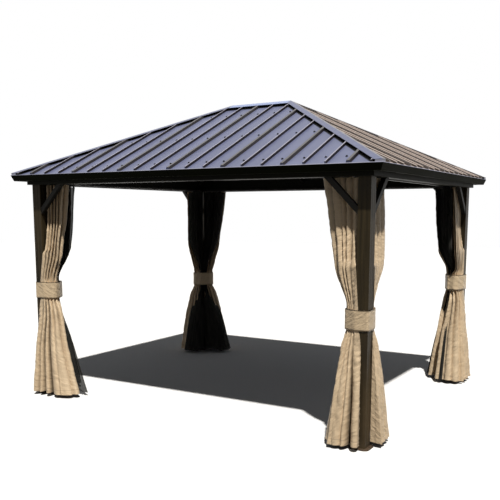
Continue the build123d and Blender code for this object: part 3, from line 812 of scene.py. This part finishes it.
# Like the curtain's lines, for the net that hangs behind it and may wrap the bunch's end.
def netLines(tie, bunch):
    hem, band, middle, upper, top = bunch["reach"]
    near, far = bunch["netHem"]
    low = 0.95 * (band + 0.5 * (hem - band))
    middle, top = middle * bunch["netUp"], top * bunch["netUp"]
    inner = 59 if near > hiddenNet else 40
    neck = [(27, inner), (0.4 * band, inner), (0.60 * band, inner + 0.5), (0.66 * band, inner + 8),
            (0.66 * band, inner + 18)]
    rows = [
        (hemHeight, [(66, near), (0.6 * hem, near), (hem - 2, near + 1), (hem - 3, far - 18),
                     (hem - 4, far)]),
        (0.50, [(52, 0.85 * near), (0.6 * low, 0.85 * near), (low - 2, 0.85 * near + 1),
                (low - 3, 0.85 * far - 12), (low - 4, 0.87 * far)]),
        (tie - 0.08, neck),
        (tie + 0.08, neck),
        (1.42, [(60, 97), (0.5 * middle, 97), (0.88 * middle, 98), (0.89 * middle, 110),
                (0.88 * middle, 124)]),
        (hangHeight, [(66, 103), (0.5 * top, 103), (0.90 * top, 104), (0.91 * top, 120), (0.90 * top, 138)]),
    ]
    if bunch["netWraps"]:
        start = -0.5 * bunch["out"]
        rows[4] = (1.42, [(60, 60), (0.6 * middle, 60), (0.95 * middle, 18 + start), (0.985 * middle, 66),
                          (0.90 * middle, 122)])
        rows[5] = (hangHeight, [(66, 60), (0.6 * top, 60), (0.95 * top, 24 + start), (0.985 * top, 74),
                                (0.92 * top, 138)])
        if near > hiddenNet:
            rows[0] = (hemHeight, [(0.80 * hem, postFace), (hem - 4, -34), (hem + 1, 40), (0.90 * hem, far),
                                   (66, far)])
            rows[1] = (0.50, [(0.84 * low, -24), (low + 2, -12), (low + 6, 40), (0.92 * low, 0.87 * far),
                              (52, 0.87 * far)])
    heights = [height for height, points in rows]
    outer = np.array([points for height, points in rows], float)
    core = np.stack([outer[..., 0] * 0.86 + 4, outer[:, 4:5, 1] - 2 + 0 * outer[..., 0]], axis=-1)
    return heights, outer, core


# Points at the given shares of the length of each row's line, and the line that rides with it.
def alongLines(lines, riding, shares):
    steps = np.linalg.norm(np.diff(lines, axis=1), axis=-1)
    reached = np.concatenate([np.zeros((len(lines), 1)), np.cumsum(steps, axis=1)], axis=1)
    wanted = shares * reached[:, -1:]
    slot = np.clip((reached[:, None, :] <= wanted[..., None]).sum(axis=-1) - 1, 0, lines.shape[1] - 2)
    rowAt = np.arange(len(lines))[:, None]
    stretch = np.maximum(reached[rowAt, slot + 1] - reached[rowAt, slot], 1e-6)
    part = np.clip((wanted - reached[rowAt, slot]) / stretch, 0, 1)[..., None]
    return [line[rowAt, slot] * (1 - part) + line[rowAt, slot + 1] * part for line in (lines, riding)]


# A fold lies between two creases. At a share t of it, the cloth goes in by the crease's depth times
# (1/2 + 1/2 cos(2 pi t)) to the power round, so crests may be broader than creases, and its place swings by
# swell sin(2 pi t), which closes the crest over the crease. Gathers beside the band, pulls that run out of
# it, dents, slanting creases and the ripples of the free edge go in, by mm, from the outer line to the core.
def gatheredCloth(name, finish, lines, bunch, corner, side, hand, width, shape, rowHeights):
    tie, seed, perFold = corner["tie"], bunch["seed"], shape["perFold"]
    z = np.asarray(rowHeights(tie))[:, None]
    knots = (0.0, 0.45, tie - 0.1, tie + 0.1, 1.42, 2.01)
    order = ("hem", "hem", "band", "band", "top", "top")
    ends = np.ones(len(order))[:, None]
    edges = np.hstack([0 * ends, [bunch[k] for k in order], ends])
    depths = np.hstack([0.3 * ends, [bunch[k + "Deep"] for k in order], 0.3 * ends])
    edgeRows, deepRows = (smoothThrough(z[:, 0], knots, values) for values in (edges, depths))

    count = edgeRows.shape[1] - 1
    share = (1 - np.cos(np.pi * np.arange(perFold) / perFold)) / 2
    inFold = np.append(np.tile(share, count), 1.0)
    foldAt = np.append(np.repeat(np.arange(count), perFold), count - 1)
    cloth = ((foldAt + inFold) / count)[None, :]
    away = np.abs(z - tie)
    left, right = edgeRows[:, foldAt], edgeRows[:, foldAt + 1]
    swell = shape["swell"] * np.clip(0.2 + away / 0.5, 0, 1)
    line = left + (right - left) * (inFold - swell * np.sin(2 * np.pi * inFold) * np.clip(inFold * 8, 0, 1))
    drift = shape["drift"] * (softNoise(cloth, z, (5, 1.4), seed) - 0.5)
    line = np.clip(line + drift * np.clip(away / 0.4, 0, 1) * np.sin(np.pi * cloth), 0, 1)

    heights, outer, core = lines(tie, bunch)
    outer, core = (smoothThrough(z[:, 0], heights, rows) for rows in (outer, core))
    outer, core = alongLines(outer, core, line)
    deep = deepRows[:, foldAt] * (1 - inFold) + deepRows[:, foldAt + 1] * inFold
    wayIn = deep * ((0.5 + 0.5 * np.cos(2 * np.pi * inFold)) ** shape["round"])[None, :]

    snug = np.clip((away - 0.070) / 0.05, 0, 1)
    wobble = 2.2 * softNoise(cloth, z, (6, 3), seed + 1)
    gathers = 0.5 - 0.5 * np.cos(2 * np.pi * (shape["gathers"] * line + wobble))
    beside = snug * np.exp(-np.clip(away - 0.08, 0, None) / shape["gatherReach"])
    below = np.where(z < tie, 1.0, -1.0)
    pulled = softNoise(cloth * width + below * 0.8 * z, z - 0.5 * below * cloth, (8, 17), seed + 3)
    pulls = (1 - np.abs(2 * pulled - 1)) ** 3
    dents = softNoise(cloth + 0.25 * z, z, (17, 5), seed + 2)
    slanted = softNoise(cloth - 0.55 * z, z + 0.3 * cloth, (11, 8), seed + 6)
    slants = (1 - (1 - np.abs(2 * slanted - 1)) ** 2) * np.clip(away / 0.25, 0, 1)
    ripple = np.sin(2 * np.pi * (z / 0.042 + 1.5 * softNoise(cloth * 3, z, (1, 7), seed + 5)))
    fromEdge = np.exp(-cloth * width / 0.045) * (0.6 + 0.5 * ripple)
    inwards = snug * (shape["pulls"] * pulls + shape["dents"] * dents + shape["slants"] * slants
                      + shape["ripple"] * fromEdge) + shape["gatherDepth"] * beside * gathers
    plan = outer + (core - outer) * np.clip(wayIn, 0, 1)[..., None]
    toCore = core - plan
    room = np.linalg.norm(toCore, axis=-1)
    inwards = np.minimum(inwards, 0.8 * room) / np.maximum(room, 1e-6)
    plan = (plan + toCore * inwards[..., None]) / 1000

    hemLift = 0.014 * softNoise(cloth, 0 * cloth, (9, 1), seed + 4)
    sag = shape["scallop"] * (0.5 - 0.5 * np.cos(2 * np.pi * count * cloth))
    overHem = z - hemHeight
    height = z + hemLift * np.clip(1 - overHem / 0.25, 0, 1) - sag * np.clip((z - 1.9) / 0.1, 0, 1)
    along = hand * (halfSides[side] - postInside - plan[..., 0])
    points = sidePlace(side, along, postDepth + plan[..., 1], height)
    uv = np.stack(np.broadcast_arrays(cloth * width, overHem), axis=-1)
    hung.append(points[-1, ::perFold])
    # The crease depth goes to the cloth's finish, which uses it for painted shade.
    return gridPiece(name, points, finish, uv, flip=hand > 0, crease=wayIn * np.clip(snug, 0.3, 1))


# Heights of the grid's rows: even steps in each stretch between two knots, as many as its count.
def rowsThrough(knots, counts):
    stretches = zip(knots[:-1], knots[1:], counts)
    rows = [np.linspace(low, high, count, endpoint=False) for low, high, count in stretches]
    return np.append(np.concatenate(rows), knots[-1])


def curtainRows(tie):
    return rowsThrough((hemHeight, 0.07, tie - 0.30, tie - 0.07, tie + 0.07, tie + 0.30, 1.92, hangHeight),
                       (3, 31, 23, 5, 23, 39, 6))


def netRows(tie):
    return rowsThrough((hemHeight, tie - 0.2, tie + 0.2, hangHeight), (19, 13, 25))


curtainSize = (0.94, 2.0)
netSize = (0.76, 2.0)
netFolds = 14
curtainShape = {
    "perFold": 22, "swell": 0.06, "round": 1.05, "gathers": 15, "gatherDepth": 6.0, "gatherReach": 0.035,
    "drift": 0.03, "pulls": 4.0, "dents": 3.5, "slants": 3.5, "ripple": 11.0, "scallop": 0.010,
}
netShape = {
    "perFold": 10, "swell": 0.06, "round": 1.0, "gathers": 20, "gatherDepth": 3.0, "gatherReach": 0.06,
    "drift": 0.05, "pulls": 3.0, "dents": 4.0, "slants": 2.0, "ripple": 0.0, "scallop": 0.022,
}


# The net's bunch is the curtain's, with many uneven folds of its own.
def netBunch(bunch):
    uneven = np.random.default_rng(bunch["seed"] + 40).uniform(0.6, 1.4, (2, netFolds))
    creases = np.cumsum(uneven, axis=1)[:, :-1] / uneven.sum(axis=1)[:, None]
    deep = np.random.default_rng(bunch["seed"] + 60).uniform(0.6, 1.0, netFolds - 1)
    return {**bunch, "seed": bunch["seed"] + 40, "hem": creases[0], "band": creases.mean(axis=0),
            "top": creases[1], "hemDeep": deep, "bandDeep": deep, "topDeep": deep}


for cornerName, corner in corners.items():
    for side, hand in corner["sides"]:
        bunch = bunches[(cornerName, side)]
        curtain = gatheredCloth(f"curtain_{cornerName}_{side}", curtainCloth, curtainLines, bunch, corner,
                                side, hand, curtainSize[0], curtainShape, curtainRows)
        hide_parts(f"curtains_{cornerName}")
        net = gatheredCloth(f"net_{cornerName}_{side}", netCloth, netLines, netBunch(bunch), corner,
                            side, hand, netSize[0], netShape, netRows)
        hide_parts(f"nets_{cornerName}")
print("curtains and nets made")

curtainHook = {"radius": 0.0062, "wire": 0.0011, "steps": 10, "around": 5}


# A ring at each place where a heading hangs: a small circle of wire carried round an upright circle.
def makeHooks(look):
    places = np.concatenate(hung)
    turn = np.arange(look["steps"])[:, None] * 2 * np.pi / look["steps"]
    wireTurn = np.arange(look["around"])[None, :] * 2 * np.pi / look["around"]
    reach = look["radius"] + look["wire"] * np.cos(wireTurn)
    ring = np.stack([reach * np.cos(turn), look["wire"] * np.sin(wireTurn) + 0 * turn,
                     reach * np.sin(turn) - look["radius"]], axis=-1)
    index = np.arange(look["steps"] * look["around"]).reshape(look["steps"], look["around"])
    ahead, beside = np.roll(index, -1, axis=0), np.roll(index, -1, axis=1)
    quads = np.stack([index, ahead, np.roll(ahead, -1, axis=1), beside], axis=-1).reshape(-1, 4)
    points = places[:, None] + ring.reshape(-1, 3)[None]
    hooks = meshPiece("curtain_hooks", points.reshape(-1, 3), copiedFaces(quads, index.size, len(places)),
                      paints["hook"])


makeHooks(curtainHook)
print("hooks made")


# tie bands

tieBand = {
    "halfHeight": 0.078,
    "thickness": 0.0034,
    "offPost": 0.0042,
    "round": 0.010,
    "waveDepth": 0.0022,
    "edgeRise": 0.0010,
    "edgeWave": 0.004,
    "steps": 260,
    "fineSteps": 1200,
    "acrossSteps": 15,
}
postMiddle = {"x": halfLong - postDepth, "y": halfWide - postDepth}


# The level ways that point out of a path, square to the ways along it.
def waysOut(ahead):
    ahead = ahead / np.linalg.norm(ahead, axis=1)[:, None]
    return np.stack([ahead[:, 1], -ahead[:, 0]], axis=1)


# The band's path is the ring of plan points, in mm from the post's middle, rounded by a running mean along
# it. Its section is a closed loop: out on one face, over the rounded edge and back on the other, with soft
# waves added to both.
def makeTieBand(cornerName, corner, look):
    alongX = bunches[(cornerName, "front" if corner["y"] < 0 else "back")]["reach"][1]
    alongY = bunches[(cornerName, "right" if corner["x"] > 0 else "left")]["reach"][1]
    ring = np.array([(-50, -50), (50, -50), (50 + 0.875 * alongX, -18), (50 + alongX, 12),
                     (50 + 0.893 * alongX, 58), (80, 50 + 0.893 * alongY), (58, 50 + 0.893 * alongY),
                     (12, 50 + alongY), (-18, 50 + 0.875 * alongY), (-50, 50)]) / 1000
    count, rows = look["fineSteps"], look["acrossSteps"]
    closed = np.vstack([ring, ring[:1]])
    lengths = np.append(0, np.cumsum(np.linalg.norm(np.diff(closed, axis=0), axis=1)))
    long = lengths[-1]
    fine = np.linspace(0, long, count, endpoint=False)
    path = np.stack([np.interp(fine, lengths, closed[:, k]) for k in (0, 1)], axis=1)
    path = path + waysOut(np.roll(path, -1, axis=0) - path) * look["offPost"]
    window = int(look["round"] / (long / count))
    kernel = np.ones(2 * window + 1) / (2 * window + 1)
    smoothed = [np.convolve(np.tile(line, 3), kernel, "same")[count:2 * count] for line in path.T]
    path = np.stack(smoothed, axis=1)[:: count // look["steps"]]
    outWay = waysOut(np.roll(path, -1, axis=0) - np.roll(path, 1, axis=0))

    turn = np.linspace(0, 1, len(path), endpoint=False)[None, :]
    across = np.concatenate([np.linspace(-1, 1, rows), np.linspace(1, -1, rows)])[:, None]
    face = np.concatenate([np.ones(rows), np.zeros(rows)])[:, None]
    face = np.where(np.abs(across) > 0.999, 0.5, face)
    half, thick = look["halfHeight"], look["thickness"]
    seed = int(corner["tie"] * 1000)
    waves = (softNoise(turn + 0.04 * across, across + 2, (26, 1.5), seed)
             + 0.5 * softNoise(turn - 0.06 * across, across + 2, (60, 2), seed + 1)) - 0.5
    pinch = look["waveDepth"] * np.clip(waves, 0, 1) * (1 - 0.5 * across**2) + look["edgeRise"] * across**2
    edgeWave = look["edgeWave"] * (softNoise(turn, 0 * turn, (12, 1), seed + 2) - 0.5)
    plan = path[None] + outWay[None] * (face * thick + pinch)[..., None]
    places = [corner[axis] * (postMiddle[axis] - plan[..., k]) for k, axis in enumerate("xy")]
    points = np.stack([*places, corner["tie"] + across * half * 0.985 + edgeWave], axis=-1)
    uv = np.stack(np.broadcast_arrays(turn * long, (across + 1) * half), axis=-1)
    band = gridPiece(f"tie_{cornerName}", points, tieCloth, uv, wrap=True, wrapRows=True,
                     flip=corner["x"] * corner["y"] > 0)
    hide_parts(f"tie_band_{cornerName}")


for cornerName, corner in corners.items():
    makeTieBand(cornerName, corner, tieBand)
print("tie bands made")
